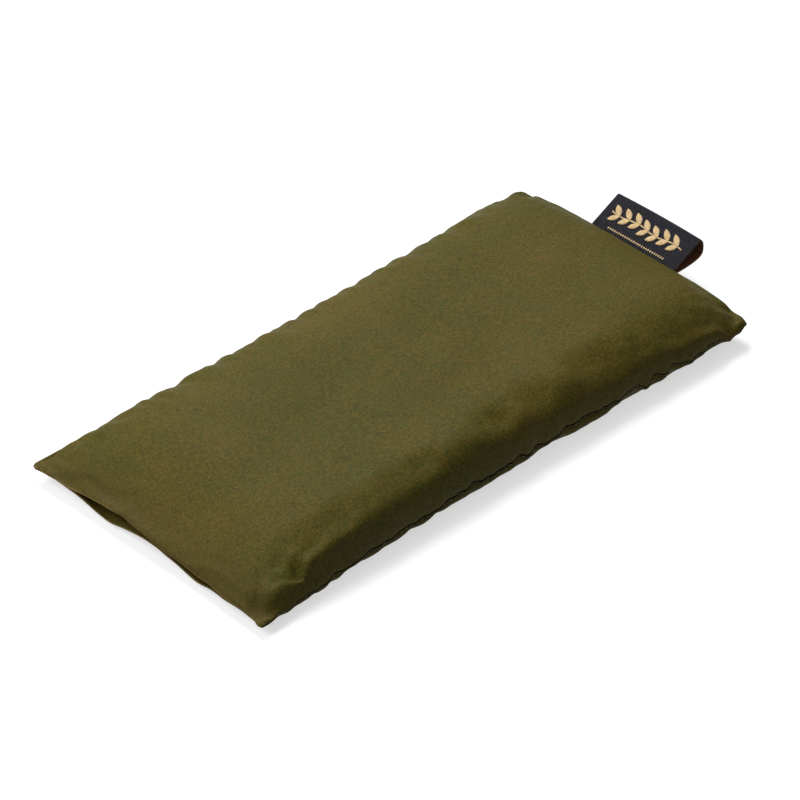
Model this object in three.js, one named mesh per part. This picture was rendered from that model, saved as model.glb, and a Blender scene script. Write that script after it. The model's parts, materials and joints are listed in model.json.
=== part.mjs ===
// Eye pillow: a satin sleeve with one open end, a loose inner bag filled with linseed and lavender,
// and a folded ribbon label caught in the seam of the closed end.
//
// Millimetres, +Z up. The origin is the centre of the flat underside. +X runs along the pillow to
// the labelled end, so the open mouth faces -X, and Y runs across it.
import * as THREE from "three";

// ---- driving dimensions ----
const LENGTH = 225; // corner to corner along X
const WIDTH = 110; // corner to corner along Y
const CROWN = 21; // height of the filled top at the labelled end
const MOUTH_DROP = 2.5; // the crown is this much lower at the mouth's end, where less filling lies
const SATIN = 0.5; // thickness of the sleeve's cloth
const COTTON = 0.4; // thickness of the inner bag's cloth
const GAP = 0.3; // clearance between pieces that touch on the real pillow

const THREAD = 0.6; // diameter of a sewn line of thread
const SEAM_INSET = 2.4; // from a sewn edge to its thread
const HEM_INSET = 14; // from the mouth's edge to the threads of its hem

const LABEL_WIDTH = 40;
const LABEL_REACH = 12; // how far the folded loop stands out from the seam
const LABEL_RISE = 9.5; // how far its fold stands above the seam
const RIBBON = 0.5; // thickness of the label's ribbon

// The sleeve: its two panels meet along three sewn edges and part a little at the mouth.
const SLEEVE = {
  cloth: SATIN,
  mouthX: -LENGTH / 2,
  endX: LENGTH / 2,
  halfWidth: WIDTH / 2,
  floor: 0,
  headroom: 0, // clearance under the crown
  sideDepth: 30, // how far the rounding reaches in from the long sides
  endDepth: 22,
  mouthDepth: 38, // length over which the top comes down to the mouth
  open: true,
  pullSide: 2.6, // how far the long sides draw in between their corners
  pullEnd: 1,
  seam: { corner: 4, side: 6, end: 9.5, mouth: 4.2 }, // heights of the sewn edge
  lips: { upper: 5.6, lower: 2.8 }, // heights of the parted lips at the middle of the mouth
};

// The inner bag lies loose in the sleeve, clear of its seams and of its mouth.
const BAG = {
  cloth: COTTON,
  mouthX: -90,
  endX: 103,
  halfWidth: 48.5,
  floor: SATIN + 2 * GAP,
  headroom: 1.4,
  sideDepth: 29,
  endDepth: 22,
  mouthDepth: 34,
  open: false,
  pullSide: 2.6,
  pullEnd: 1,
  seam: { corner: 6.5, side: 7.5, end: 9.5, mouth: 6 },
  lips: { upper: 6, lower: 6 },
};

// The seeds stop short of the bag's seam allowance.
const SEAM_ALLOWANCE = 5;
const FILLING = {
  ...BAG,
  mouthX: BAG.mouthX + SEAM_ALLOWANCE,
  endX: BAG.endX - SEAM_ALLOWANCE,
  halfWidth: BAG.halfWidth - SEAM_ALLOWANCE,
  sideDepth: BAG.sideDepth - SEAM_ALLOWANCE,
  endDepth: BAG.endDepth - SEAM_ALLOWANCE,
  mouthDepth: BAG.mouthDepth - SEAM_ALLOWANCE,
};

const FLATNESS = 1.4; // the larger, the more of the underside lies flat
const ROUND_STEPS = 5;
const MIDDLE_STEPS_X = 6;
const MIDDLE_STEPS_Y = 5;

// ---- colours ----
const FINISHES = {
  satin: { color: 0x5a532f, roughness: 0.55 },
  thread: { color: 0x4a4528, roughness: 0.7 },
  ribbon: { color: 0x1b1a20, roughness: 0.8 },
  cotton: { color: 0xd8d0bb, roughness: 0.9 },
  seed: { color: 0x7a4a26, roughness: 0.5 },
};

// ---- the pillow's surfaces ----
const smooth = (t) => {
  const s = Math.min(1, Math.max(0, t));
  return s * s * (3 - 2 * s);
};

// Rises from 0 at an edge to 1 at `depth` from it, as a quarter of an ellipse.
const quarterRise = (distance, depth) => Math.sqrt(1 - Math.max(0, 1 - distance / depth) ** 2);

// Distances from an edge that divide such a quarter evenly.
const quarterStations = (depth) =>
  Array.from({ length: ROUND_STEPS + 1 }, (_, k) =>
    depth * (1 - Math.cos((k / ROUND_STEPS) * (Math.PI / 2))));

// The ends of a span and the places that divide it evenly.
const span = (from, to, steps) =>
  Array.from({ length: steps + 1 }, (_, k) => from + ((to - from) * k) / steps);

// The places along X, from the mouth to the labelled end, where a shape is sampled.
function stationsX(shape) {
  const start = shape.open
    ? span(0, shape.mouthDepth, ROUND_STEPS + 1)
    : quarterStations(shape.mouthDepth);
  const low = start.map((d) => shape.mouthX + d);
  const high = quarterStations(shape.endDepth).map((d) => shape.endX - d).reverse();
  return [...low, ...span(low.at(-1), high[0], MIDDLE_STEPS_X).slice(1, -1), ...high];
}

// The places across Y.
function stationsY(shape) {
  const high = quarterStations(shape.sideDepth).map((d) => shape.halfWidth - d).reverse();
  const low = high.map((y) => -y).reverse();
  return [...low, ...span(low.at(-1), high[0], MIDDLE_STEPS_Y).slice(1, -1), ...high];
}

// How far along its shape a place lies: -1 at the mouth, 1 at the labelled end.
const alongShape = (shape, x) =>
  (2 * x - shape.mouthX - shape.endX) / (shape.endX - shape.mouthX);

// Height of the sewn edge: low at the corners, higher between them.
function seamHeight(shape, u, v) {
  const { corner, side, end, mouth } = shape.seam;
  const ends = (end - corner) * smooth(u) + (mouth - corner) * smooth(-u);
  return corner + (side - corner) * (1 - u * u) + ends * (1 - v * v);
}

// A point of the upper (side = 1) or lower (side = -1) surface, moved inwards by `inset`.
function surfacePoint(shape, x, y, side, inset) {
  const u = alongShape(shape, x);
  const v = y / shape.halfWidth;
  const fromMouth = x - shape.mouthX;
  const nearMouth = 1 - smooth(fromMouth / shape.mouthDepth);
  const walls = quarterRise(shape.halfWidth - Math.abs(y), shape.sideDepth)
    * quarterRise(shape.endX - x, shape.endDepth)
    * (shape.open ? 1 : quarterRise(fromMouth, shape.mouthDepth));
  const rise = shape.open ? walls * (1 - nearMouth) : walls;

  const seam = seamHeight(shape, u, v);
  const lip = side > 0 ? shape.lips.upper : shape.lips.lower;
  const edge = seam + (lip - seam) * (1 - v * v) * nearMouth + (side * GAP) / 2;

  const toEnd = (SLEEVE.endX - x) / LENGTH;
  const crown = CROWN - MOUTH_DROP * toEnd ** 2 - shape.headroom;
  const flat = Math.min(1, FLATNESS * rise);
  const z = side > 0
    ? edge + (crown - edge) * rise - inset * walls
    : edge - (edge - shape.floor) * flat + inset * Math.min(1, FLATNESS * walls);

  // In plan the edges draw in between the corners, and an inset moves the sewn ones inwards.
  const atEnd = smooth(u) * (inset + shape.pullEnd * (1 - v * v));
  const atMouth = shape.open ? 0 : smooth(-u) * inset;
  return [x - atEnd + atMouth, v * (shape.halfWidth - inset - shape.pullSide * (1 - u * u)), z];
}

// Rows of points across Y, one row for each station along X.
const surfaceGrid = (shape, side, inset) =>
  stationsX(shape).map((x) => stationsY(shape).map((y) => surfacePoint(shape, x, y, side, inset)));

// A closed body between two grids of the same size, `over` lying above `under`.
function bodyBetween(over, under) {
  const rows = over.length;
  const columns = over[0].length;
  const at = (layer, i, j) => layer * rows * columns + i * columns + j;
  const index = [];
  const quad = (a, b, c, d) => index.push(a, b, c, a, c, d);
  const lastRow = rows - 1;
  const lastColumn = columns - 1;
  for (let j = 0; j < lastColumn; j++) {
    quad(at(0, 0, j), at(0, 0, j + 1), at(1, 0, j + 1), at(1, 0, j));
    quad(at(1, lastRow, j), at(1, lastRow, j + 1), at(0, lastRow, j + 1), at(0, lastRow, j));
  }
  for (let i = 0; i < lastRow; i++) {
    quad(at(1, i, 0), at(1, i + 1, 0), at(0, i + 1, 0), at(0, i, 0));
    quad(at(0, i, lastColumn), at(0, i + 1, lastColumn), at(1, i + 1, lastColumn), at(1, i, lastColumn));
    for (let j = 0; j < lastColumn; j++) {
      quad(at(0, i, j), at(0, i + 1, j), at(0, i + 1, j + 1), at(0, i, j + 1));
      quad(at(1, i, j), at(1, i, j + 1), at(1, i + 1, j + 1), at(1, i + 1, j));
    }
  }
  const geometry = new THREE.BufferGeometry();
  const positions = [...over.flat(), ...under.flat()].flat();
  geometry.setAttribute("position", new THREE.Float32BufferAttribute(positions, 3));
  geometry.setIndex(index);
  geometry.computeVertexNormals();
  return geometry;
}

const upperPanel = (shape) =>
  bodyBetween(surfaceGrid(shape, 1, 0), surfaceGrid(shape, 1, shape.cloth));
const lowerPanel = (shape) =>
  bodyBetween(surfaceGrid(shape, -1, shape.cloth), surfaceGrid(shape, -1, 0));

// One solid that fills a shape, clear of its cloth.
function filling(shape) {
  const inset = shape.cloth + GAP;
  return bodyBetween(surfaceGrid(shape, 1, inset), surfaceGrid(shape, -1, inset));
}

// ---- threads ----
const THREAD_SIDES = 6;

// A round thread through the given points.
function threadAlong(points, steps) {
  const curve = new THREE.CatmullRomCurve3(points.map((p) => new THREE.Vector3(...p)));
  const section = new THREE.Shape(
    Array.from({ length: THREAD_SIDES }, (_, k) => {
      const angle = (2 * Math.PI * k) / THREAD_SIDES;
      return new THREE.Vector2((THREAD / 2) * Math.cos(angle), (THREAD / 2) * Math.sin(angle));
    }),
  );
  return new THREE.ExtrudeGeometry(section, { extrudePath: curve, steps, bevelEnabled: false });
}

// Midway between the insides of the two panels.
function betweenPanels(shape, x, y) {
  const over = surfacePoint(shape, x, y, 1, shape.cloth);
  const under = surfacePoint(shape, x, y, -1, shape.cloth);
  return over.map((value, axis) => (value + under[axis]) / 2);
}

// Points of the seam along one long side, from near the mouth to near the closed end.
function sideSeamPoints(shape, sign) {
  const y = sign * (shape.halfWidth - SEAM_INSET);
  const xs = span(shape.mouthX + 3 * SEAM_INSET, shape.endX - 2 * SEAM_INSET, 12);
  return xs.map((x) => betweenPanels(shape, x, y));
}
const sideSeamThread = (shape, sign) => threadAlong(sideSeamPoints(shape, sign), 16);

// One thread down a long side, round the closed end and back along the other.
function threeSidedThread(shape) {
  const reach = shape.halfWidth - 2 * SEAM_INSET;
  const end = span(-reach, reach, 6).map((y) => betweenPanels(shape, shape.endX - SEAM_INSET, y));
  const back = sideSeamPoints(shape, 1).reverse();
  return threadAlong([...sideSeamPoints(shape, -1), ...end, ...back], 60);
}

// The thread across one end.
function endSeamThread(shape, x) {
  const reach = shape.halfWidth - 2.5 * SEAM_INSET;
  return threadAlong(span(-reach, reach, 8).map((y) => betweenPanels(shape, x, y)), 12);
}

// The thread that holds a turned-in hem, lying against the inside of its panel.
function hemThread(side) {
  const x = SLEEVE.mouthX + HEM_INSET;
  const reach = SLEEVE.halfWidth - 3 * SEAM_INSET;
  const below = SATIN + GAP + THREAD / 2;
  const points = span(-reach, reach, 12).map((y) => {
    const point = surfacePoint(SLEEVE, x, y, side, 0);
    return [point[0], point[1], point[2] - side * below];
  });
  return threadAlong(points, 24);
}

// ---- label ----
const LABEL_X = SLEEVE.endX - SLEEVE.pullEnd; // the middle of the end seam
const LABEL_Z = SLEEVE.seam.end;

// The ribbon's middle line in X and Z from the seam: up the front, round the fold, back below.
function ribbonLine() {
  const start = 2 * GAP;
  const tail = GAP + RIBBON / 2;
  const path = new THREE.Path();
  path.moveTo(start, tail);
  path.lineTo(LABEL_REACH - 1.5, LABEL_RISE);
  path.bezierCurveTo(
    LABEL_REACH - 0.3, LABEL_RISE + 1,
    LABEL_REACH + 1.2, LABEL_RISE - 1.6,
    LABEL_REACH + 0.8, LABEL_RISE - 4.6,
  );
  path.bezierCurveTo(LABEL_REACH + 0.8, -0.1, LABEL_REACH - 3, -1.1, start, -tail);
  return path.getPoints(9);
}

// The ribbon's thickness given to that line, and the label's width along Y.
function labelLoop() {
  const line = ribbonLine();
  const beside = (sign) =>
    line.map((point, k) => {
      const before = line[Math.max(0, k - 1)];
      const after = line[Math.min(line.length - 1, k + 1)];
      const along = after.clone().sub(before).normalize();
      const out = (sign * RIBBON) / 2;
      return new THREE.Vector2(point.x - out * along.y, point.y + out * along.x);
    });
  const band = new THREE.Shape([...beside(1), ...beside(-1).reverse()]);
  const geometry = new THREE.ExtrudeGeometry(band, { depth: LABEL_WIDTH, bevelEnabled: false });
  geometry.translate(0, 0, -LABEL_WIDTH / 2);
  return geometry.rotateX(Math.PI / 2);
}

// ---- assembly ----
const pillow = new THREE.Group();

function add(name, geometry, finish) {
  const material = new THREE.MeshStandardMaterial({ ...FINISHES[finish], metalness: 0 });
  const mesh = new THREE.Mesh(geometry, material);
  mesh.name = name;
  pillow.add(mesh);
  return mesh;
}

add("cover_top_panel", upperPanel(SLEEVE), "satin");
add("cover_bottom_panel", lowerPanel(SLEEVE), "satin");
add("side_seam_thread_right", sideSeamThread(SLEEVE, -1), "thread");
add("side_seam_thread_left", sideSeamThread(SLEEVE, 1), "thread");
add("end_seam_thread", endSeamThread(SLEEVE, SLEEVE.endX - SEAM_INSET), "thread");
add("mouth_hem_thread_upper", hemThread(1), "thread");
add("mouth_hem_thread_lower", hemThread(-1), "thread");

add("inner_bag_top", upperPanel(BAG), "cotton");
add("inner_bag_bottom", lowerPanel(BAG), "cotton");
add("inner_bag_seam_thread", threeSidedThread(BAG), "thread");
add("inner_bag_closing_thread", endSeamThread(BAG, BAG.mouthX + SEAM_INSET), "thread");
add("linseed_filling", filling(FILLING), "seed");

const label = add("loop_label", labelLoop(), "ribbon");
label.position.set(LABEL_X, 0, LABEL_Z);

export default pillow;
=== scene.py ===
"""Eye pillow: the looks. A satin sleeve, simulated as cloth over a plump form of its seeds."""
import json
import math

import bpy
import numpy as np
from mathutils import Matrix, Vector, noise
from mathutils.bvhtree import BVHTree


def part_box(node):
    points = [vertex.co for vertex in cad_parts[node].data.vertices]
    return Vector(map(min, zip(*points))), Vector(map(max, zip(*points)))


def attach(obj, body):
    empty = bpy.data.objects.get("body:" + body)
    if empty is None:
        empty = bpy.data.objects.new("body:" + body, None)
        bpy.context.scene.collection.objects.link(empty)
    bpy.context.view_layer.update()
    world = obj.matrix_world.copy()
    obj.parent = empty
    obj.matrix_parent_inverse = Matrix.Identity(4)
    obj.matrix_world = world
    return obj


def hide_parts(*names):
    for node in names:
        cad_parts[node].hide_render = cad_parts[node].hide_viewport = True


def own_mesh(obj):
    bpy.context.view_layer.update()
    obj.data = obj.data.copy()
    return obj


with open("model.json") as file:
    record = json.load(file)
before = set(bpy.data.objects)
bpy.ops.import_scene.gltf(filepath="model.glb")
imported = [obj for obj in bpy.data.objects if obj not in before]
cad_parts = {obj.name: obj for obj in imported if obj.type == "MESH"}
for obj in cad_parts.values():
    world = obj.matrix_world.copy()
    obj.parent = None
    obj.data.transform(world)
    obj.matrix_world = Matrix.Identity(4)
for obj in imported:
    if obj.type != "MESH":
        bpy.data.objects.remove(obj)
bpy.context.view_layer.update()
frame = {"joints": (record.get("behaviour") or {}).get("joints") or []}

# ---------------------------------------------------------------- driving dimensions (metres)
MM = 0.001
TOP_LOW, TOP_HIGH = (Vector(c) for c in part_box("cover_top_panel"))
BAG_LOW, BAG_HIGH = (Vector(c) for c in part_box("inner_bag_top"))
BAG_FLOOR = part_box("inner_bag_bottom")[0][2]
LABEL_LOW, LABEL_HIGH = (Vector(c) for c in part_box("loop_label"))
LABEL_JOINT = next(j for j in frame["joints"] if j["name"] == "label_flex")

SLEEVE = dict(
    mouth_x=TOP_LOW.x, end_x=TOP_HIGH.x, half_width=TOP_HIGH.y, floor=0.0, crown=TOP_HIGH.z,
    side_depth=29 * MM, near_depth=16 * MM, end_depth=30 * MM, mouth_depth=48 * MM, open=True,
    mouth_power=1.6,
    pull_side=2.6 * MM, pull_end=1 * MM,
    seam=dict(corner=4 * MM, side=4.6 * MM, end=9.5 * MM, mouth=4.2 * MM),
    lips=(5.6 * MM, 2.8 * MM),
)
BAG = dict(
    mouth_x=BAG_LOW.x, end_x=BAG_HIGH.x, half_width=BAG_HIGH.y, floor=BAG_FLOOR, crown=BAG_HIGH.z,
    side_depth=29 * MM, near_depth=19 * MM, end_depth=22 * MM, mouth_depth=34 * MM, open=False,
    mouth_power=1.0,
    pull_side=2.6 * MM, pull_end=1 * MM,
    seam=dict(corner=6.5 * MM, side=7.5 * MM, end=9.5 * MM, mouth=6 * MM),
    lips=(6 * MM, 6 * MM),
)
# The form that the cloth is simulated over: fuller than BAG, as loose seeds press the sleeve out.
PLUMP = dict(
    SLEEVE, mouth_x=SLEEVE["mouth_x"] + 2.5 * MM, end_x=SLEEVE["end_x"] - 1 * MM, open=False,
    half_width=SLEEVE["half_width"] - 1 * MM, mouth_depth=44 * MM, lips=(5 * MM, 5 * MM),
    seam=dict(corner=4.5 * MM, side=6 * MM, end=9.5 * MM, mouth=5.2 * MM),
)
MOUTH_DROP = 2.5 * MM  # the crown is lower by this much at the mouth's end
FLATNESS = 1.4  # the larger, the more of the underside lies flat

SLEEVE_CUT = (232 * MM, 118 * MM)  # each satin panel's length and width between its seams
CELLS = (132, 66)  # the simulated cloth's grid, along and across
SIM_SCALE = 10.0  # the solver works on a pillow ten times as large
SIM_FRAMES = 24
SLACK = 1.014  # the cloth is this much larger than the form that its held seams keep it in
STIR = 0.15 * MM  # the free points start this far off the form, so that folds can begin
BAG_CLEARANCE = 0.3 * MM
SEED_MARGIN = 5 * MM  # the seeds stop this far inside the bag's seams
CORNER_FLARE = (0.9 * MM, 1.3 * MM)  # the empty corners stand out along and across
# How far each corner is lifted, in millimetres, by its place in the grid: (mouth 0 or end -1,
# near side 0 or far side -1).
CORNER_LIFT = {(0, -1): 1.0, (0, 0): -1.0, (-1, 0): 2.0, (-1, -1): 2.0}
FINE_WAVE, BROAD_WAVE = 4.2 * MM, 21 * MM  # feature sizes of the side seams' gathers
END_WAVE, LIP_WAVE = 5 * MM, 7 * MM  # the same for the end seam and the lips
LIP_REACH = 20 * MM  # the lips' shape fades out over this length


# ---------------------------------------------------------------- the pillow's form
def smooth(t):
    """Rises smoothly from 0 to 1 as t does."""
    s = np.clip(t, 0, 1)
    return s * s * (3 - 2 * s)


def quarter_rise(distance, depth, power=2.0):
    """Rises from 0 at an edge to 1 at depth from it, as a quarter of an ellipse, or squarer."""
    return (1 - np.clip(1 - distance / depth, 0, 1) ** power) ** (1 / power)


def surface(shape, u, v, side, inset=0.0):
    """Points of the upper (side 1) or lower (side -1) surface; u and v run from -1 to 1."""
    middle = (shape["mouth_x"] + shape["end_x"]) / 2
    x = middle + u * (shape["end_x"] - shape["mouth_x"]) / 2
    from_mouth = x - shape["mouth_x"]
    near_mouth = 1 - smooth(from_mouth / shape["mouth_depth"])
    steep = (1 - smooth(v + 0.5)) * (1 - smooth(u * 0.9))
    depth = shape["side_depth"] + (shape["near_depth"] - shape["side_depth"]) * steep
    walls = quarter_rise(shape["half_width"] * (1 - np.abs(v)), depth, 2 + 0.6 * steep)
    walls = walls * quarter_rise(shape["end_x"] - x, shape["end_depth"])
    if shape["open"]:
        rise = walls * quarter_rise(from_mouth, shape["mouth_depth"]) ** shape["mouth_power"]
    else:
        walls = walls * quarter_rise(np.maximum(from_mouth, 0), shape["mouth_depth"]) ** shape["mouth_power"]
        rise = walls
    seam = shape["seam"]
    ends = (seam["end"] - seam["corner"]) * smooth(u) + (seam["mouth"] - seam["corner"]) * smooth(-u)
    edge = seam["corner"] + (seam["side"] - seam["corner"]) * (1 - u * u) + ends * (1 - v * v)
    lip = shape["lips"][0] if side > 0 else shape["lips"][1]
    edge = edge + (lip - edge) * (1 - v * v) * near_mouth
    to_end = (TOP_HIGH.x - x) / (TOP_HIGH.x - TOP_LOW.x)
    crown = shape["crown"] - MOUTH_DROP * to_end ** 2
    if side > 0:
        z = edge + (crown - edge) * rise - inset * walls
    else:
        z = edge - (edge - shape["floor"]) * np.minimum(1, FLATNESS * rise)
        z = z + inset * np.minimum(1, FLATNESS * walls)
    at_end = smooth(u) * (inset + shape["pull_end"] * (1 - v * v))
    at_mouth = 0 if shape["open"] else smooth(-u) * inset
    y = v * (shape["half_width"] - inset - shape["pull_side"] * (1 - u * u))
    points = np.stack([x - at_end + at_mouth, y, z], -1)
    return rounded_corners(points, u, v) if shape["open"] else points


def rounded_corners(points, u, v):
    """Draws the four corners in, from square to round, by the square to disc map."""
    radius = np.where(u > 0, 4.5 * MM, 2.5 * MM)
    half_length = (TOP_HIGH.x - TOP_LOW.x) / 2
    p = np.clip(1 - half_length * (1 - np.abs(u)) / radius, 0, 1)
    q = np.clip(1 - TOP_HIGH.y * (1 - np.abs(v)) / radius, 0, 1)
    points[..., 0] -= np.sign(u) * radius * p * (1 - np.sqrt(1 - q * q / 2))
    points[..., 1] -= np.sign(v) * radius * q * (1 - np.sqrt(1 - p * p / 2))
    return points


def grid(cells):
    """Places u and v, from -1 to 1, of a grid with this many cells each way."""
    u, v = np.meshgrid(np.linspace(-1, 1, cells[0] + 1), np.linspace(-1, 1, cells[1] + 1), indexing="ij")
    return u, v


def field(points, size, seed):
    """Smooth noise in about -1 to 1, of the given feature size, at each point."""
    offset = Vector((seed * 17.3, seed * 5.9, seed * 11.1))
    flat = points.reshape(-1, 3) / size
    values = [noise.noise(Vector(p) + offset) for p in flat]
    return np.array(values).reshape(points.shape[:-1])


def swells(points, u, v):
    """Heights that loose seeds give the upper side: soft swells, and dents along the two shoulders."""
    inside = quarter_rise(1 - np.abs(v), 0.35) * quarter_rise(1 - np.abs(u), 0.2)
    soft = 1.5 * field(points * np.array([1, 0.8, 0]), 38 * MM, 1)
    soft = soft + 0.55 * field(points * np.array([1, 1, 0]), 18 * MM, 2)
    dent = np.maximum(0, field(points * np.array([1, 0.2, 0]), 14 * MM, 3) + 0.2)
    near = 4.5 * np.exp(-((v + 0.86) / 0.1) ** 2) * (1 - 0.8 * smooth(u * 1.5))
    far = 2.4 * np.exp(-((v - 0.78) / 0.16) ** 2)
    return ((soft - 0.35) * inside - dent * (near + far) * quarter_rise(1 - np.abs(u), 0.2)) * MM


def stuffed(shape, u, v, side, inset=0.0):
    """A closed form with the soft swells and hollows of loose seeds."""
    points = surface(shape, u, v, side, inset)
    if side > 0:
        points[..., 2] += swells(points, u, v)
    return points


# ---------------------------------------------------------------- mesh building
def mesh_object(name, vertices, faces):
    """A new mesh object in the scene."""
    mesh = bpy.data.meshes.new(name)
    mesh.from_pydata([tuple(p) for p in vertices], [], faces)
    mesh.update()
    made = bpy.data.objects.new(name, mesh)
    bpy.context.scene.collection.objects.link(made)
    return made


def grid_faces(index, flip=False):
    """Four-sided faces between the rows and columns of a grid of vertex numbers."""
    faces = []
    for i in range(index.shape[0] - 1):
        for j in range(index.shape[1] - 1):
            ring = [index[i, j], index[i + 1, j], index[i + 1, j + 1], index[i, j + 1]]
            faces.append([int(k) for k in (reversed(ring) if flip else ring)])
    return faces


def joined_panels(cells, keep_mouth_open=True):
    """Vertex numbers of two grids that share their sewn edges."""
    rows, columns = cells[0] + 1, cells[1] + 1
    top = np.arange(rows * columns).reshape(rows, columns)
    bottom = np.full((rows, columns), -1)
    bottom[:, 0], bottom[:, -1], bottom[-1, :] = top[:, 0], top[:, -1], top[-1, :]
    if not keep_mouth_open:
        bottom[0, :] = top[0, :]
    free = bottom < 0
    bottom[free] = rows * columns + np.arange(free.sum())
    return top, bottom


def stuffed_mesh(shape, inset=0.0, scale=1.0):
    """The vertices and faces of a closed form."""
    cells = (80, 44)
    u, v = grid(cells)
    top, bottom = joined_panels(cells, keep_mouth_open=False)
    points = np.zeros((bottom.max() + 1, 3))
    points[bottom.ravel()] = stuffed(shape, u, v, -1, inset).reshape(-1, 3)
    points[top.ravel()] = stuffed(shape, u, v, 1, inset).reshape(-1, 3)
    return points * scale, grid_faces(top) + grid_faces(bottom, flip=True)


# ---------------------------------------------------------------- cloth simulation
def collider(name, vertices, faces):
    """Something solid that the simulated cloth lies on."""
    made = mesh_object(name, vertices, faces)
    made.modifiers.new("Collision", "COLLISION")
    made.collision.thickness_outer = 0.004
    made.collision.thickness_inner = 0.05
    made.collision.cloth_friction = 12
    return made


def lip_heights(v):
    """The mouth's upper and lower lips: parted on the left, touching in the middle, ajar on the right."""
    corner = 4 * MM
    across = 1 - v * v
    upper = corner + across * (2.9 * np.exp(-((v - 0.32) / 0.34) ** 2) + 0.6) * MM
    part = 5.6 * np.exp(-((v - 0.36) / 0.24) ** 2) + 2.2 * np.exp(-((v + 0.42) / 0.18) ** 2)
    lower = upper - across * (part + 0.7) * MM
    return upper, np.maximum(lower, 0.5 * MM)


def seam_waves(along, seed, size):
    """The gathered edge of a seam: small uneven waves along it."""
    points = np.stack([along, np.zeros_like(along), np.zeros_like(along)], -1)
    return field(points, size, seed)


def sleeve_start():
    """The sleeve's two panels before they settle, with gathered seams and shaped lips."""
    u, v = grid(CELLS)
    top, bottom = surface(SLEEVE, u, v, 1), surface(SLEEVE, u, v, -1)
    top[..., 2] += swells(top, u, v) + 0.5 * MM * quarter_rise(1 - np.abs(v), 0.3)
    along = top[:, 0, 0]
    fade = quarter_rise(1 - np.abs(u[:, 0]), 0.08)
    to_end = smooth((u[:, 0] + 1) / 2)
    for column, seed, swing in ((0, 21, 0.8 + 1.3 * to_end), (-1, 24, 1.5 - 0.4 * to_end)):
        wave = seam_waves(along, seed, FINE_WAVE) * fade * swing
        sway = seam_waves(along, seed + 1, BROAD_WAVE) * fade
        direction = 1 if column == 0 else -1
        for panel in (top, bottom):
            panel[:, column, 2] += (1.5 * wave + 1.0 * sway) * MM
            panel[:, column, 1] += direction * (0.7 * wave - 0.5 * sway) * MM
    across = top[-1, :, 1]
    wave = seam_waves(across, 27, END_WAVE) * quarter_rise(1 - np.abs(v[-1]), 0.12)
    for panel in (top, bottom):
        panel[-1, :, 2] += 0.8 * wave * MM
        panel[-1, :, 0] -= 0.5 * np.abs(wave) * MM
    upper, lower = lip_heights(v[0])
    ripple = seam_waves(top[0, :, 1], 29, LIP_WAVE) * quarter_rise(1 - np.abs(v[0]), 0.2)
    lips = (upper + 0.35 * ripple * MM, lower + 0.2 * ripple * MM)
    reach = 1 - smooth((top[..., 0] - SLEEVE["mouth_x"]) / LIP_REACH)
    for panel, lip in zip((top, bottom), lips):
        panel[..., 2] += (lip - panel[0, :, 2]) * reach
    for panel in (top, bottom):
        panel[0, :, 0] += (0.5 * ripple + 1.2 * (1 - v[0] ** 2)) * MM
    for (i, j), lift in CORNER_LIFT.items():
        near = ((1 + (u if i else -u)) / 2 * (1 + (v if j else -v)) / 2) ** 6
        for panel in (top, bottom):
            panel[..., 2] += lift * MM * near
            panel[..., 0] += (1 if i else -1) * CORNER_FLARE[0] * near
            panel[..., 1] += (1 if j else -1) * CORNER_FLARE[1] * near
    return top, bottom


def simulate_sleeve():
    """The sleeve's two panels as points, draped over PLUMP and the floor with seams and lips held."""
    u, v = grid(CELLS)
    top, bottom = joined_panels(CELLS)
    count = bottom.max() + 1
    upper, lower = sleeve_start()

    start = np.zeros((count, 3))
    start[bottom.ravel()] = lower.reshape(-1, 3)
    start[top.ravel()] = upper.reshape(-1, 3)
    held = set(top[:, 0]) | set(top[:, -1]) | set(top[-1, :]) | set(top[0, :]) | set(bottom[0, :])
    free = np.ones(count)
    free[[int(k) for k in held]] = 0
    stir = np.array([noise.noise_vector(Vector(p) / (7 * MM)) for p in start])
    start = start + stir * (STIR * free)[:, None]
    cloth = mesh_object(
        "sleeve_cloth", start * SIM_SCALE, grid_faces(top) + grid_faces(bottom, flip=True)
    )
    cloth.shape_key_add(name="Basis")
    rest = cloth.shape_key_add(name="fuller")
    rest.data.foreach_set("co", (start * SIM_SCALE * SLACK).ravel().astype(np.float32))
    rest.value = 0
    seams = cloth.vertex_groups.new(name="seams")
    seams.add([int(k) for k in held], 1.0, "REPLACE")

    settings = cloth.modifiers.new("Cloth", "CLOTH").settings
    settings.quality = 5
    settings.mass = 0.2
    settings.tension_stiffness = 40
    settings.compression_stiffness = 40
    settings.shear_stiffness = 15
    settings.bending_stiffness = 0.25
    settings.tension_damping = 10
    settings.compression_damping = 10
    settings.shear_damping = 10
    settings.bending_damping = 0.5
    settings.air_damping = 3
    settings.rest_shape_key = rest
    settings.vertex_group_mass = "seams"
    settings.pin_stiffness = 20
    settings.effector_weights.gravity = 0.8
    contact = cloth.modifiers["Cloth"].collision_settings
    contact.distance_min = 0.004
    contact.collision_quality = 2
    cache = cloth.modifiers["Cloth"].point_cache
    cache.frame_start = 1
    cache.frame_end = SIM_FRAMES

    helpers = [
        collider("bag_collider", *stuffed_mesh(PLUMP, 0.2 * MM, SIM_SCALE)),
        collider("floor_collider", [(-3, -3, 0), (3, -3, 0), (3, 3, 0), (-3, 3, 0)], [(0, 1, 2, 3)]),
    ]
    scene = bpy.context.scene
    for step in range(1, SIM_FRAMES + 1):
        scene.frame_set(step)
    shown = cloth.evaluated_get(bpy.context.evaluated_depsgraph_get())
    points = np.array([vertex.co for vertex in shown.data.vertices]) / SIM_SCALE
    for helper in helpers + [cloth]:
        bpy.data.objects.remove(helper)
    scene.frame_set(1)
    return points[top], points[bottom]


# ---------------------------------------------------------------- finishing the cloth
PANEL_GAP = 0.4 * MM


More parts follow.
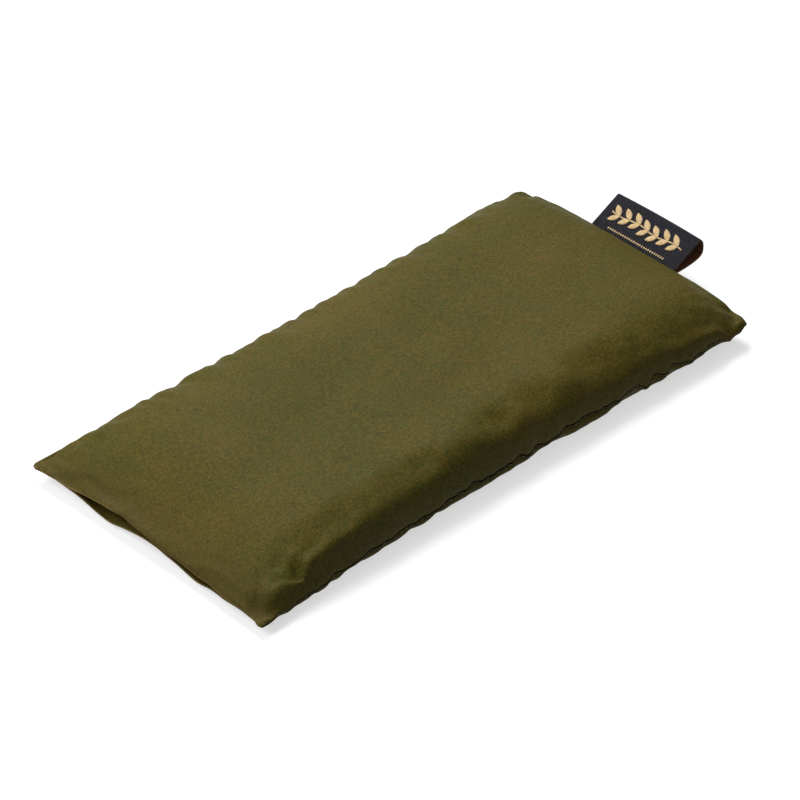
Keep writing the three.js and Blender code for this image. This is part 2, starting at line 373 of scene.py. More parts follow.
def gathers(points, v, side):
    """Short uneven pleats that run in from the side seams, along the cloth's normal."""
    along = points[..., 0]
    away = (1 - np.abs(v)) * SLEEVE["half_width"]
    flat = np.stack([along, np.sign(v) * (away * 0.22 + 40 * MM), np.zeros_like(along)], -1)
    pleat = field(flat, 4.4 * MM, 31)
    crease = 0.5 * field(flat * np.array([1, 1.6, 1]), 2.6 * MM, 32)
    length = 10 * MM + 6 * MM * field(flat, 13 * MM, 33)
    depth = np.where(v > 0, 1.35 - 0.35 * along / SLEEVE["end_x"], 0.85) * MM
    envelope = np.exp(-((away - 4 * MM) / np.maximum(length, 5 * MM)) ** 2) * smooth(away / (3 * MM))
    return (pleat + crease) * envelope * depth


def clear_of_bag(points, gap):
    """Moves points that are in the inner bag, or too close to it, back out along its normal."""
    vertices, faces = stuffed_mesh(BAG)
    tree = BVHTree.FromPolygons([tuple(p) for p in vertices], faces)
    flat = points.reshape(-1, 3)
    for k, point in enumerate(flat):
        place, normal, _, _ = tree.find_nearest(Vector(point))
        short = gap - (Vector(point) - place).dot(normal)
        if short > 0:
            flat[k] = point + np.array(normal) * short
    return flat.reshape(points.shape)


def settle(top, bottom):
    """Adds the gathers, and keeps the panels clear of the bag, the floor and each other."""
    u, v = grid(CELLS)
    top = top + normals(top, 1) * gathers(top, v, 1)[..., None]
    lower = gathers(bottom, v, -1) * smooth(bottom[..., 2] / (4 * MM))
    bottom = bottom + normals(bottom, -1) * lower[..., None]
    for panel, lowest in ((top, 0.4 * MM), (bottom, 0.2 * MM)):
        panel[1:-1, 1:-1] = clear_of_bag(panel[1:-1, 1:-1].copy(), BAG_CLEARANCE)
        panel[..., 2] = np.maximum(panel[..., 2], lowest)
    sewn = np.minimum(quarter_rise(1 - np.abs(v), 0.03), quarter_rise((1 - u) / 2, 0.02))
    top[..., 2] = np.maximum(top[..., 2], bottom[..., 2] + PANEL_GAP * sewn)
    return top, bottom


def normals(points, side):
    """Unit normals of a grid of points, outward for its side."""
    along = np.gradient(points, axis=0)
    across = np.gradient(points, axis=1)
    found = np.cross(along, across) * side
    return found / np.maximum(np.linalg.norm(found, axis=-1, keepdims=True), 1e-12)


def sample(values, i, j):
    """Bilinear lookup in a grid at fractional places."""
    i0 = np.clip(np.floor(i).astype(int), 0, values.shape[0] - 2)
    j0 = np.clip(np.floor(j).astype(int), 0, values.shape[1] - 2)
    a, b = (i - i0)[..., None], (j - j0)[..., None]
    low = values[i0, j0] * (1 - b) + values[i0, j0 + 1] * b
    high = values[i0 + 1, j0] * (1 - b) + values[i0 + 1, j0 + 1] * b
    return low * (1 - a) + high * a


# Rows beside an edge, from the raw end to the cloth: millimetres in from the edge, millimetres under
# the cloth, and millimetres that the row is drawn in towards the pillow's middle.
SEWN = ((4.2, 0.7, 0.0), (1.6, 1.0, 0.3), (0.35, 0.7, 0.8),
        (0.0, 0.1, 0.75), (0.3, 0.0, 0.1), (0.75, 0.0, -0.35), (1.3, 0.0, -0.25))
HEMMED = ((13.8, 0.66, 0.0), (11, 0.66, 0.0), (8, 0.66, 0.0), (5, 0.66, 0.0), (2.5, 0.66, 0.0),
          (0.8, 0.62, 0.0), (0.12, 0.32, 0.0), (0.0, 0.0, 0.0))


def edge_rows(count, cut, low, high):
    """Places along one side of the cloth, in cells, with how far each is under it and drawn in."""
    cell = cut / (count - 1) / MM
    first, last = (max(row[0] for row in rows if row[1] < 0.2) for rows in (low, high))
    middle = [k for k in range(count) if k * cell > first + 0.2 and (count - 1 - k) * cell > last + 0.2]
    rows = [(place / cell, drop, pull) for place, drop, pull in low]
    rows += [(float(k), 0.0, 0.0) for k in middle]
    rows += [(count - 1 - place / cell, drop, -pull) for place, drop, pull in reversed(high)]
    return np.array(rows).T


def folded_panel(name, points, side, cut, edges, thickness):
    """One cloth panel with its raw edges turned to the inside. Edges: low i, high i, low j, high j."""
    count_i, count_j = points.shape[:2]
    rows_i = edge_rows(count_i, cut[0], edges[0], edges[1])
    rows_j = edge_rows(count_j, cut[1], edges[2], edges[3])
    i, j = np.meshgrid(rows_i[0], rows_j[0], indexing="ij")
    drop = np.maximum(*np.meshgrid(rows_i[1], rows_j[1], indexing="ij"))
    pull_x, pull_y = np.meshgrid(rows_i[2], rows_j[2], indexing="ij")
    outward = sample(normals(points, side), i, j)
    body = sample(points, i, j) - outward * (drop * MM)[..., None]
    body[..., 0] += pull_x * MM
    body[..., 1] += pull_y * MM

    index = np.arange(i.size).reshape(i.shape)
    made = mesh_object(name, body.reshape(-1, 3), grid_faces(index, flip=side < 0))
    lay_flat(made, i / (count_i - 1) * cut[0], j / (count_j - 1) * cut[1])
    solid = made.modifiers.new("Thickness", "SOLIDIFY")
    solid.thickness = thickness
    solid.offset = -1
    return made


def lay_flat(made, s, t):
    """Gives a grid its flat cut as a UV map in metres."""
    flat = np.stack([np.ravel(s), np.ravel(t)], -1)
    corners = np.array([loop.vertex_index for loop in made.data.loops])
    layer = made.data.uv_layers.new(name="cut")
    layer.data.foreach_set("uv", flat[corners].ravel().astype(np.float32))


def bake_modifiers(made, subdivisions):
    """Subdivides the mesh if asked, applies its modifiers and smooths its shading."""
    if subdivisions:
        subdivision = made.modifiers.new("Subdivision", "SUBSURF")
        subdivision.levels = subdivision.render_levels = subdivisions
        subdivision.boundary_smooth = "PRESERVE_CORNERS"
    shown = made.evaluated_get(bpy.context.evaluated_depsgraph_get())
    final = bpy.data.meshes.new_from_object(shown)
    made.modifiers.clear()
    made.data = final
    for polygon in final.polygons:
        polygon.use_smooth = True


# ---------------------------------------------------------------- threads
SEAM_STITCH = dict(length=2.3 * MM, gap=0.3 * MM, radius=0.16 * MM)
HEM_STITCH = dict(length=2.6 * MM, gap=0.5 * MM, radius=0.16 * MM)
BAG_STITCH = dict(length=2.2 * MM, gap=0.35 * MM, radius=0.15 * MM)
CLOSING_STITCH = dict(length=2.4 * MM, gap=0.6 * MM, radius=0.2 * MM, lift=0.12 * MM)


def stitches(name, line, outward, length, gap, radius, lift=0.0, sides=6):
    """A row of separate stitches along a line of points, each a short rounded tube."""
    steps = np.linalg.norm(np.diff(line, axis=0), axis=1)
    travelled = np.concatenate([[0], np.cumsum(steps)])

    def at(distance, values):
        return np.stack([np.interp(distance, travelled, values[:, k]) for k in range(3)], -1)

    vertices, faces = [], []
    rings = ((0.0, 0.35), (0.12, 0.85), (0.5, 1.0), (0.88, 0.85), (1.0, 0.35))
    start = gap
    while start + length < travelled[-1]:
        base = len(vertices)
        for share, swell in rings:
            here = start + share * length
            centre = at(here, line)
            ahead = at(here + 0.2 * MM, line) - at(here - 0.2 * MM, line)
            ahead = ahead / max(np.linalg.norm(ahead), 1e-9)
            up = at(here, outward)
            up = up - ahead * (up @ ahead)
            up = up / max(np.linalg.norm(up), 1e-9)
            beside = np.cross(ahead, up)
            centre = centre + up * lift * math.sin(math.pi * share)
            for k in range(sides):
                turn = 2 * math.pi * k / sides
                arm = math.cos(turn) * beside + math.sin(turn) * up
                vertices.append(centre + arm * radius * swell)
        for ring in range(len(rings) - 1):
            for k in range(sides):
                a, b = base + ring * sides + k, base + ring * sides + (k + 1) % sides
                faces.append([a, b, b + sides, a + sides])
        faces.append([base + k for k in reversed(range(sides))])
        last = base + (len(rings) - 1) * sides
        faces.append([last + k for k in range(sides)])
        start += length + gap
    made = mesh_object(name, vertices, faces)
    for polygon in made.data.polygons:
        polygon.use_smooth = True
    return made


# ---------------------------------------------------------------- materials
class Nodes:
    """A short way to write a node material."""

    FACTOR, FIRST, SECOND, RESULT = 0, 6, 7, 2  # a colour mix node's sockets

    def __init__(self, name):
        self.material = bpy.data.materials.new(name)
        self.material.use_nodes = True
        self.tree = self.material.node_tree
        self.shader = self.tree.nodes["Principled BSDF"]

    def add(self, kind, inputs=None, **properties):
        """A new node with these inputs and properties."""
        node = self.tree.nodes.new(kind)
        for key, value in properties.items():
            setattr(node, key, value)
        for key, value in (inputs or {}).items():
            self.set(node, key, value)
        return node

    def set(self, node, key, value):
        """Links a socket to an input, or sets the input to a value."""
        if isinstance(value, bpy.types.NodeSocket):
            self.tree.links.new(value, node.inputs[key])
        else:
            node.inputs[key].default_value = value

    def noise(self, vector, scale, detail=2.0, roughness=0.5):
        """Smooth noise from 0 to 1."""
        made = self.add("ShaderNodeTexNoise", {"Vector": vector, "Scale": scale, "Detail": detail,
                                               "Roughness": roughness})
        return made.outputs["Fac"]

    def ramp(self, factor, *stops):
        """A colour for each value of the factor."""
        made = self.add("ShaderNodeValToRGB", {"Fac": factor})
        elements = made.color_ramp.elements
        while len(elements) < len(stops):
            elements.new(0.5)
        for element, (place, colour) in zip(elements, stops):
            element.position = place
            element.color = (*colour, 1) if len(colour) == 3 else colour
        return made.outputs["Color"]

    def mix(self, factor, first, second, blend="MIX"):
        """Two colours blended by the factor."""
        made = self.add("ShaderNodeMix", data_type="RGBA", blend_type=blend)
        for key, value in ((self.FACTOR, factor), (self.FIRST, first), (self.SECOND, second)):
            if isinstance(value, bpy.types.NodeSocket):
                self.tree.links.new(value, made.inputs[key])
            elif key == self.FACTOR:
                made.inputs[key].default_value = value
            else:
                made.inputs[key].default_value = (*value, 1)
        return made.outputs[self.RESULT]

    def math(self, operation, *values):
        """The result of one operation on its values."""
        made = self.add("ShaderNodeMath", operation=operation)
        for key, value in enumerate(values):
            self.set(made, key, value)
        return made.outputs[0]

    def bump(self, height, strength, distance, normal=None):
        """A normal that shows the height as relief."""
        inputs = {"Height": height, "Strength": strength, "Distance": distance}
        if normal is not None:
            inputs["Normal"] = normal
        return self.add("ShaderNodeBump", inputs).outputs["Normal"]

    def finish(self, **sockets):
        """Sets the shader's sockets and gives the material."""
        for key, value in sockets.items():
            self.set(self.shader, key.replace("_", " "), value)
        return self.material


def woven(nodes, coordinates, pitch):
    """Height of a plain weave: warp and weft threads of the given pitch, from 0 to 1."""
    split = nodes.add("ShaderNodeSeparateXYZ", {"Vector": coordinates})
    turn = math.pi / pitch
    warp = nodes.math("SINE", nodes.math("MULTIPLY", split.outputs["X"], turn))
    weft = nodes.math("SINE", nodes.math("MULTIPLY", split.outputs["Y"], turn))
    return nodes.math("ABSOLUTE", nodes.math("MULTIPLY", warp, weft))


def satin_material():
    """Olive satin: a fine weave, uneven dye, a browner band along the hem, and a painted highlight along the
    hem's folded edge.
    """
    nodes = Nodes("olive_satin")
    place = nodes.add("ShaderNodeTexCoord").outputs["Object"]
    cut = nodes.add("ShaderNodeUVMap", uv_map="cut").outputs["UV"]
    broad = nodes.noise(place, 26, 3, 0.55)
    patch = nodes.noise(place, 150, 3, 0.6)
    grain = nodes.noise(place, 1300, 2, 0.7)
    speck = nodes.noise(place, 700, 2, 0.6)
    colour = nodes.ramp(broad, (0.34, (0.047, 0.045, 0.0055)), (0.66, (0.075, 0.055, 0.0075)))
    tint = nodes.ramp(patch, (0.36, (0.042, 0.046, 0.005)), (0.64, (0.073, 0.049, 0.007)))
    colour = nodes.mix(0.22, colour, tint)
    warm = nodes.ramp(speck, (0.42, (0.038, 0.047, 0.005)), (0.6, (0.092, 0.056, 0.009)))
    colour = nodes.mix(0.3, colour, warm)
    shade = nodes.ramp(grain, (0.3, (0.5, 0.5, 0.5)), (0.7, (1.45, 1.45, 1.4)))
    colour = nodes.mix(0.8, colour, shade, "MULTIPLY")
    from_edge = nodes.add("ShaderNodeSeparateXYZ", {"Vector": cut}).outputs["X"]
    waver = nodes.math("MULTIPLY_ADD", patch, 6 * MM, 9 * MM)
    hem = nodes.math("LESS_THAN", from_edge, waver)
    hem_band = nodes.add("ShaderNodeMapRange", {0: from_edge, 1: 6 * MM, 2: 17 * MM, 3: 0.3, 4: 0.0})
    hem_band.interpolation_type = "SMOOTHSTEP"
    colour = nodes.mix(hem_band.outputs[0], colour, (0.062, 0.041, 0.009))
    colour = nodes.mix(nodes.math("MULTIPLY", hem, 0.06), colour, (0.045, 0.03, 0.007))
    # Painted highlight: a thin lighter gold-brown line along the folded edge of the mouth's hem.
    fold = nodes.add("ShaderNodeMapRange", {0: from_edge, 1: 0.25 * MM, 2: 0.8 * MM, 3: 0.4, 4: 0.0})
    colour = nodes.mix(fold.outputs[0], colour, (0.21, 0.135, 0.05))
    rough = nodes.math("MULTIPLY_ADD", patch, 0.14, 0.56)
    normal = nodes.bump(woven(nodes, cut, 0.34 * MM), 0.12, 0.0001)
    normal = nodes.bump(grain, 0.25, 0.0002, normal)
    return nodes.finish(
        Base_Color=colour, Roughness=rough, Normal=normal, Specular_IOR_Level=0.07,
        Sheen_Weight=0.02, Sheen_Roughness=0.4, Sheen_Tint=(0.8, 0.78, 0.5, 1),
    )


def thread_material(name, dark, light):
    """Twisted sewing thread."""
    nodes = Nodes(name)
    place = nodes.add("ShaderNodeTexCoord").outputs["Object"]
    twist = nodes.add("ShaderNodeTexWave", {"Vector": place, "Scale": 900, "Distortion": 1.5,
                                            "Detail": 1.0}, bands_direction="DIAGONAL").outputs["Fac"]
    fuzz = nodes.noise(place, 2200, 2, 0.6)
    colour = nodes.mix(fuzz, dark, light)
    return nodes.finish(
        Base_Color=nodes.mix(nodes.math("MULTIPLY", twist, 0.35), colour, dark), Roughness=0.7,
        Normal=nodes.bump(twist, 0.5, 0.00008), Sheen_Weight=0.15,
    )


def cotton_material():
    """Unbleached cotton: a plain weave with slubs and brown flecks."""
    nodes = Nodes("unbleached_cotton")
    place = nodes.add("ShaderNodeTexCoord").outputs["Object"]
    cut = nodes.add("ShaderNodeUVMap", uv_map="cut").outputs["UV"]
    weave = woven(nodes, cut, 0.6 * MM)
    slub = nodes.noise(place, 420, 3, 0.65)
    fleck = nodes.ramp(nodes.noise(place, 1300, 1, 0.5), (0.66, (0, 0, 0)), (0.72, (1, 1, 1)))
    colour = nodes.ramp(slub, (0.3, (0.42, 0.37, 0.27)), (0.7, (0.56, 0.51, 0.4)))
    colour = nodes.mix(nodes.math("MULTIPLY", weave, 0.25), colour, (0.64, 0.59, 0.48))
    colour = nodes.mix(nodes.math("MULTIPLY", fleck, 0.45), colour, (0.24, 0.16, 0.09))
    normal = nodes.bump(weave, 0.35, 0.00018)
    normal = nodes.bump(slub, 0.2, 0.0004, normal)
    return nodes.finish(Base_Color=colour, Roughness=0.88, Normal=normal, Specular_IOR_Level=0.2,
                        Sheen_Weight=0.2)


def linseed_material():
    """Glossy brown seeds with a few lavender ones between them."""
    nodes = Nodes("linseed_and_lavender")
    place = nodes.add("ShaderNodeTexCoord").outputs["Object"]
    seeds = nodes.add("ShaderNodeTexVoronoi", {"Vector": place, "Scale": 520})
    kind = nodes.add("ShaderNodeSeparateColor", {"Color": seeds.outputs["Color"]}).outputs[0]
    colour = nodes.ramp(kind, (0.0, (0.13, 0.05, 0.018)), (0.85, (0.26, 0.12, 0.045)),
                        (0.93, (0.2, 0.17, 0.3)))
    height = nodes.math("SUBTRACT", 1.0, nodes.math("MULTIPLY", seeds.outputs["Distance"], 1.4))
    return nodes.finish(Base_Color=colour, Roughness=0.32, Normal=nodes.bump(height, 0.9, 0.0006),
                        Coat_Weight=0.25)


def ribbon_material():
    """Black ribbed ribbon, with a brownish inner face."""
    nodes = Nodes("black_ribbon")
    cut = nodes.add("ShaderNodeUVMap", uv_map="cut").outputs["UV"]
    place = nodes.add("ShaderNodeTexCoord").outputs["Object"]
    split = nodes.add("ShaderNodeSeparateXYZ", {"Vector": cut})
    rib = nodes.math("SINE", nodes.math("MULTIPLY", split.outputs["X"], 2 * math.pi / (0.42 * MM)))
    yarn = nodes.math("SINE", nodes.math("MULTIPLY", split.outputs["Y"], 2 * math.pi / (0.5 * MM)))
    cloth = nodes.math("MULTIPLY_ADD", nodes.math("MULTIPLY", rib, yarn), 0.5, 0.5)
    fuzz = nodes.noise(place, 1400, 2, 0.65)
    colour = nodes.ramp(fuzz, (0.32, (0.002, 0.002, 0.003)), (0.7, (0.026, 0.025, 0.033)))
    colour = nodes.mix(nodes.math("MULTIPLY", cloth, 0.4), colour, (0.024, 0.023, 0.031))
    back = nodes.add("ShaderNodeAttribute", attribute_name="inside").outputs["Fac"]
    colour = nodes.mix(nodes.math("MULTIPLY", back, 0.85), colour, (0.24, 0.11, 0.05))
    normal = nodes.bump(cloth, 0.9, 0.0002)
    normal = nodes.bump(fuzz, 0.25, 0.0002, normal)
    return nodes.finish(Base_Color=colour, Roughness=0.72, Normal=normal, Specular_IOR_Level=0.12,
                        Sheen_Weight=0.02)


def gold_yarn_material():
    """Gold yarn of the woven motif."""
    nodes = Nodes("gold_yarn")
    cut = nodes.add("ShaderNodeUVMap", uv_map="cut").outputs["UV"]
    place = nodes.add("ShaderNodeTexCoord").outputs["Object"]
    split = nodes.add("ShaderNodeSeparateXYZ", {"Vector": cut})
    yarn = nodes.math("SINE", nodes.math("MULTIPLY", split.outputs["Y"], 2 * math.pi / (0.36 * MM)))
    fuzz = nodes.noise(place, 1600, 2, 0.6)
    colour = nodes.ramp(fuzz, (0.25, (0.5, 0.31, 0.12)), (0.7, (0.83, 0.63, 0.33)))
    shade = nodes.math("MULTIPLY_ADD", yarn, -0.18, 0.18)
    colour = nodes.mix(shade, colour, (0.3, 0.17, 0.06))
    return nodes.finish(Base_Color=colour, Roughness=0.5, Normal=nodes.bump(yarn, 0.6, 0.00012),
                        Specular_IOR_Level=0.45, Sheen_Weight=0.1)


def floor_material():
    """Pale table that glows a little, for the photographed light shadow."""
    nodes = Nodes("pale_floor")
    place = nodes.add("ShaderNodeTexCoord").outputs["Object"]
    colour = nodes.ramp(nodes.noise(place, 6, 2, 0.5), (0.3, (0.42, 0.42, 0.42)), (0.7, (0.44, 0.44, 0.44)))
    return nodes.finish(Base_Color=colour, Roughness=0.85, Specular_IOR_Level=0.1,
                        Emission_Color=(1, 1, 1, 1), Emission_Strength=0.58)


SATIN = satin_material()
SATIN_THREAD = thread_material("olive_thread", (0.03, 0.026, 0.01), (0.1, 0.088, 0.036))
COTTON_THREAD = thread_material("natural_thread", (0.42, 0.37, 0.27), (0.78, 0.72, 0.6))
COTTON = cotton_material()
LINSEED = linseed_material()
RIBBON = ribbon_material()
GOLD = gold_yarn_material()


def dress(piece, material, slot, body, *nodes):
    """Gives a piece its material and body, and hides the nodes that it replaces; its slot is not used."""
    piece.data.materials.clear()
    piece.data.materials.append(material)
    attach(piece, body)
    if nodes:
        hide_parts(*nodes)


# ---------------------------------------------------------------- the sleeve
SATIN_THICKNESS = 0.22 * MM
HEM_DEPTH = 14 * MM


def flattens_when_empty(piece):
    """Gives the piece its own copy of its mesh."""
    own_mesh(piece)


def make_sleeve():
    """The two satin panels, with their edges turned in, and the stitches."""
    top, bottom = settle(*simulate_sleeve())
    edges = (HEMMED, SEWN, SEWN, SEWN)
    for name, points, side, node in (
        ("sleeve_top", top, 1, "cover_top_panel"),
        ("sleeve_bottom", bottom, -1, "cover_bottom_panel"),
    ):
        panel = folded_panel(name, points, side, SLEEVE_CUT, edges, SATIN_THICKNESS)
        bake_modifiers(panel, 1)
        dress(panel, SATIN, "satin", "sleeve", node)
        flattens_when_empty(panel)
    make_sleeve_stitches(top, bottom)


def make_sleeve_stitches(top, bottom):
    """Stitches in the groove of each sewn edge, and under the hems."""
    inward = 0.6 * MM
    seams = (
        ("side_stitches_right", top[4:-2, 0], (0, inward, 0), "side_seam_thread_right"),
        ("side_stitches_left", top[4:-2, -1], (0, -inward, 0), "side_seam_thread_left"),
        ("end_stitches", top[-1, 2:-2], (-inward, 0, 0), "end_seam_thread"),
    )
    for name, line, shift, node in seams:
        line = line + np.array(shift)
        outward = np.tile(-np.array(shift) / inward, (len(line), 1))
        made = stitches(name, line, outward, **SEAM_STITCH)
        dress(made, SATIN_THREAD, "satin_thread", "sleeve", node)
        flattens_when_empty(made)
    row = round(HEM_DEPTH / (SLEEVE_CUT[0] / CELLS[0])) - 1
    for name, panel, side, node in (
        ("hem_stitches_upper", top, 1, "mouth_hem_thread_upper"),
        ("hem_stitches_lower", bottom, -1, "mouth_hem_thread_lower"),
    ):
        outward = normals(panel, side)[row, 3:-3]
        line = panel[row, 3:-3] - outward * 0.95 * MM
        made = stitches(name, line, -outward, **HEM_STITCH)
        dress(made, SATIN_THREAD, "satin_thread", "sleeve", node)
        flattens_when_empty(made)


# ---------------------------------------------------------------- the inner bag
BAG_CELLS = (120, 64)
BAG_CUT = (200 * MM, 104 * MM)  # each cotton panel's length and width between its seams
COTTON_THICKNESS = 0.25 * MM
CLOSING_ROW = 2  # the grid row, counted from the bag's mouth, that the closing seam runs along


def make_inner_bag():
    """The two cotton panels, their seam and their closing seam."""
    u, v = grid(BAG_CELLS)
    panels = {}
    for name, side, node in (("bag_top", 1, "inner_bag_top"), ("bag_bottom", -1, "inner_bag_bottom")):
        points = stuffed(BAG, u, v, side)
        inside = quarter_rise(1 - np.abs(v), 0.2) * quarter_rise(1 - np.abs(u), 0.12)
        bumps = field(points, 3.2 * MM, 5) * 0.16 * MM * inside
        if side > 0:
            points[..., 2] += bumps
        pucker = (1 - inside) * 0.3 * MM * field(points * np.array([1, 1, 0]), 5 * MM, 6)
        points[..., 2] += pucker
        panels[side] = points
        panel = folded_panel(name, points, side, BAG_CUT, (SEWN,) * 4, COTTON_THICKNESS)
        bake_modifiers(panel, 1)
        dress(panel, COTTON, "bag_cotton", "inner_pillow", node)
    top = panels[1]
    edge = np.concatenate([top[2:-1, 0], top[-1, 1:-1], top[2:-1, -1][::-1]])
    middle = np.array([(SLEEVE["mouth_x"] + SLEEVE["end_x"]) / 2, 0, 0])
    outward = (edge - middle) * np.array([0, 1, 0])
    outward = outward / np.maximum(np.abs(outward).max(-1, keepdims=True), 1e-9)
    made = stitches("bag_seam_stitches", edge - outward * 0.5 * MM, outward, **BAG_STITCH)
    dress(made, COTTON_THREAD, "cotton_thread", "inner_pillow", "inner_bag_seam_thread")
    outward = normals(top, 1)[CLOSING_ROW, 3:-3]
    line = top[CLOSING_ROW, 3:-3] + outward * 0.05 * MM
    made = stitches("bag_closing_stitches", line, outward, **CLOSING_STITCH)
    dress(made, COTTON_THREAD, "cotton_thread", "inner_pillow", "inner_bag_closing_thread")


def make_filling():
    """The heap of linseed, its surface knobbly with seeds."""
    cells = (110, 60)
    low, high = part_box("linseed_filling")
    shape = dict(BAG, mouth_x=low[0], end_x=high[0], half_width=high[1], crown=high[2], floor=low[2])
    shape.update({key: BAG[key] - SEED_MARGIN for key in ("side_depth", "end_depth", "mouth_depth")})
    u, v = grid(cells)
    top, bottom = joined_panels(cells, keep_mouth_open=False)
    points = np.zeros((bottom.max() + 1, 3))
    points[bottom.ravel()] = surface(shape, u, v, -1).reshape(-1, 3)
    upper = surface(shape, u, v, 1)
    upper[..., 2] -= 1.2 * MM * quarter_rise(1 - np.abs(v), 0.35) * quarter_rise(1 - np.abs(u), 0.2)
    points[top.ravel()] = upper.reshape(-1, 3)
    heap = mesh_object("linseed_heap", points, grid_faces(top) + grid_faces(bottom, flip=True))
    dress(heap, LINSEED, "linseed", "inner_pillow", "linseed_filling")
    bake_modifiers(heap, 0)


# ---------------------------------------------------------------- the label
HINGE = Vector(LABEL_JOINT["pos_m"])
LABEL_WIDTH = LABEL_HIGH.y - LABEL_LOW.y
REACH = 15.5 * MM  # how far the folded loop stands out from the seam
RISE = 7.6 * MM  # how far its fold stands above the seam
RIBBON_THICKNESS = 0.42 * MM
YARN_THICKNESS = 0.12 * MM


def bezier(a, b, c, d, steps):
    """Points on a cubic curve."""
    t = np.linspace(0, 1, steps)[:, None]
    a, b, c, d = (np.array(p) for p in (a, b, c, d))
    return a * (1 - t) ** 3 + 3 * b * t * (1 - t) ** 2 + 3 * c * t ** 2 * (1 - t) + d * t ** 3


def label_line():
    """The ribbon's middle line in X and Z from the seam: up the front, round the fold, back below."""
    start, tail = 0.6 * MM, 0.55 * MM
    shoulder = (REACH - 1.5 * MM, RISE)
    front = np.linspace((start, tail), shoulder, 16)
    fold = bezier(shoulder, (REACH - 0.3 * MM, RISE + 1 * MM), (REACH + 1.2 * MM, RISE - 1.6 * MM),
                  (REACH + 0.8 * MM, RISE - 4.6 * MM), 14)
    back = bezier(fold[-1], (REACH + 0.8 * MM, -0.1 * MM), (REACH - 3 * MM, -1.1 * MM), (start, -tail), 16)
    return np.concatenate([front, fold[1:], back[1:]])


def on_label(line, along, y, out=0.0):
    """A point at a distance along the ribbon's line, and out from its outer face."""
    steps = np.linalg.norm(np.diff(line, axis=0), axis=1)
    travelled = np.concatenate([[0], np.cumsum(steps)])
    x = np.interp(along, travelled, line[:, 0])
    z = np.interp(along, travelled, line[:, 1])
    ahead = 0.3 * MM
    dx = np.interp(along + ahead, travelled, line[:, 0]) - np.interp(along - ahead, travelled, line[:, 0])
    dz = np.interp(along + ahead, travelled, line[:, 1]) - np.interp(along - ahead, travelled, line[:, 1])
    size = np.maximum(np.hypot(dx, dz), 1e-9)
    bow = 0.35 * MM * (np.asarray(y) / (LABEL_WIDTH / 2)) ** 2
    lift = out - bow * np.clip(x / REACH, 0, 1)
    return np.stack(np.broadcast_arrays(
        HINGE.x + x - dz / size * lift, np.asarray(y, float), HINGE.z + z + dx / size * lift), -1)


def make_label():
    """The folded ribbon and its motif."""
    line = label_line()
    length = np.linalg.norm(np.diff(line, axis=0), axis=1).sum()
    along = np.linspace(0, length, 60)
    across = np.linspace(-LABEL_WIDTH / 2, LABEL_WIDTH / 2, 41)
    s, y = np.meshgrid(along, across, indexing="ij")
    points = on_label(line, s.ravel(), y.ravel())
    index = np.arange(s.size).reshape(s.shape)
    label = mesh_object("ribbon_loop", points, grid_faces(index, flip=False))
    lay_flat(label, s, y)
    solid = label.modifiers.new("Thickness", "SOLIDIFY")
    solid.thickness = RIBBON_THICKNESS
    solid.offset = 0
    bake_modifiers(label, 1)
    centre = np.array([HINGE.x + 8 * MM, HINGE.z + 3.4 * MM])
    places = np.array([vertex.co for vertex in label.data.vertices])
    facing = np.array([vertex.normal for vertex in label.data.vertices])
    to_centre = centre - places[:, [0, 2]]
    inside = (facing[:, [0, 2]] * to_centre).sum(-1) > 0
    attribute = label.data.attributes.new("inside", "FLOAT", "POINT")
    attribute.data.foreach_set("value", inside.astype(np.float32))
    dress(label, RIBBON, "label_ribbon", "label", "loop_label")
    flattens_when_empty(label)
    make_motif(line)


def leaf(along, y, lean, length, width):
    """Outline rows of one leaf: points along it and how far each side lies from its midrib."""
    t = np.linspace(0, 1, 9)
    half = width / 2 * np.sin(math.pi * t) ** 0.8
    rib_s = along + math.cos(lean) * length * t
    rib_y = y + math.sin(lean) * length * t
    side_s, side_y = -math.sin(lean), math.cos(lean)
    return [(rib_s + side_s * half * k, rib_y + side_y * half * k) for k in (-1, -0.5, 0, 0.5, 1)]


def make_motif(line):
    """A generic woven motif: a sprig of paired leaves over a beaded line."""
    vertices, faces, uvs = [], [], []

    def patch(rows, height):
        base = len(vertices)
        columns = len(rows[0][0])
        for r, (s, y) in enumerate(rows):
            dome = height * math.sin(math.pi * (r + 0.5) / len(rows))
            points = on_label(line, s, y, RIBBON_THICKNESS / 2 + 0.03 * MM + dome)
            vertices.extend(points)
            uvs.extend(zip(s, y))
        for r in range(len(rows) - 1):
            for c in range(columns - 1):
                a = base + r * columns + c
                faces.append([a, a + columns, a + columns + 1, a + 1])

    stem_s = 8.8 * MM
    reach = 16.5 * MM
    across = np.linspace(-reach, reach, 60)
    wave = stem_s + 0.5 * MM * np.sin(across / reach * math.pi * 2)
    patch([(wave + k * 0.28 * MM, across) for k in (-1, 0, 1)], 0.1 * MM)
    for root in np.linspace(-reach + 2 * MM, reach - 4 * MM, 7):
        at = stem_s + 0.5 * MM * math.sin(root / reach * math.pi * 2)
        patch(leaf(at, root, math.radians(48), 5.2 * MM, 2.3 * MM), 0.14 * MM)
        patch(leaf(at, root, math.radians(132), 4.6 * MM, 2.2 * MM), 0.14 * MM)
    for bead in np.linspace(-13 * MM, 13 * MM, 27):
        patch(leaf(2.3 * MM, bead, 0.0, 0.75 * MM, 0.62 * MM), 0.07 * MM)

    motif = mesh_object("label_motif", vertices, faces)
    lay_flat(motif, *np.array(uvs).T)
    yarn = motif.modifiers.new("Thickness", "SOLIDIFY")
    yarn.thickness = YARN_THICKNESS
    yarn.offset = -1
    bake_modifiers(motif, 0)
    dress(motif, GOLD, "label_motif", "label")
    flattens_when_empty(motif)


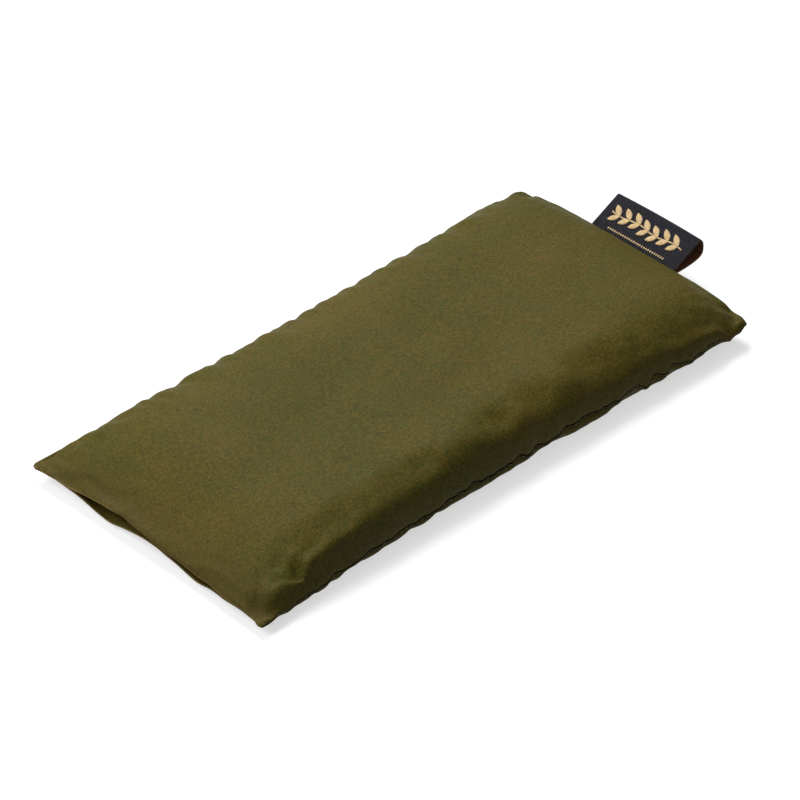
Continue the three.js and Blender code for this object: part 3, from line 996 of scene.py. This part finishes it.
# ---------------------------------------------------------------- floor, light and camera
CAMERA = dict(azimuth=-43.86, elevation=37.14, distance=1.448, target=(0.0031, 0.0026, 0), lens=194)
KEY = dict(azimuth=147, elevation=49, distance=1.5, size=0.7, power=23)
FILL = dict(azimuth=236, elevation=42, distance=0.85, size=0.6, power=5.4)
WORLD_STRENGTH = 0.31
FLOOR_HALF = 6.0


def towards(azimuth, elevation):
    """Unit direction from the pillow to a camera or a light."""
    a, e = math.radians(azimuth), math.radians(elevation)
    return Vector((math.sin(a) * math.cos(e), -math.cos(a) * math.cos(e), math.sin(e)))


def area_light(name, azimuth, elevation, distance, size, power):
    """A white disk light that faces the pillow."""
    light = bpy.data.lights.new(name, "AREA")
    light.shape = "DISK"
    light.size = size
    light.energy = power
    made = bpy.data.objects.new(name, light)
    bpy.context.scene.collection.objects.link(made)
    back = towards(azimuth, elevation)
    made.location = back * distance
    made.rotation_euler = back.to_track_quat("Z", "Y").to_euler()


def set_stage():
    """Floor, world, lights and colour handling."""
    half = FLOOR_HALF
    floor = mesh_object("floor", [(-half, -half, 0), (half, -half, 0), (half, half, 0), (-half, half, 0)],
                        [(0, 1, 2, 3)])
    floor.data.materials.append(floor_material())
    floor.visible_diffuse = False  # the photographed near side gets little light back from the table
    world = bpy.data.worlds.new("studio")
    bpy.context.scene.world = world
    world.use_nodes = True
    world.node_tree.nodes["Background"].inputs["Color"].default_value = (1, 1, 1, 1)
    world.node_tree.nodes["Background"].inputs["Strength"].default_value = WORLD_STRENGTH
    area_light("key", **KEY)
    area_light("fill", **FILL)
    bpy.context.scene.view_settings.view_transform = "Standard"


def set_camera():
    """The camera, as fitted to the photograph."""
    camera = bpy.data.cameras.new("camera")
    camera.lens = CAMERA["lens"]
    camera.sensor_width = 36
    made = bpy.data.objects.new("camera", camera)
    bpy.context.scene.collection.objects.link(made)
    back = towards(CAMERA["azimuth"], CAMERA["elevation"])
    made.location = Vector(CAMERA["target"]) + back * CAMERA["distance"]
    made.rotation_euler = back.to_track_quat("Z", "Y").to_euler()
    bpy.context.scene.camera = made


set_camera()
set_stage()
make_filling()
make_inner_bag()
make_sleeve()
make_label()
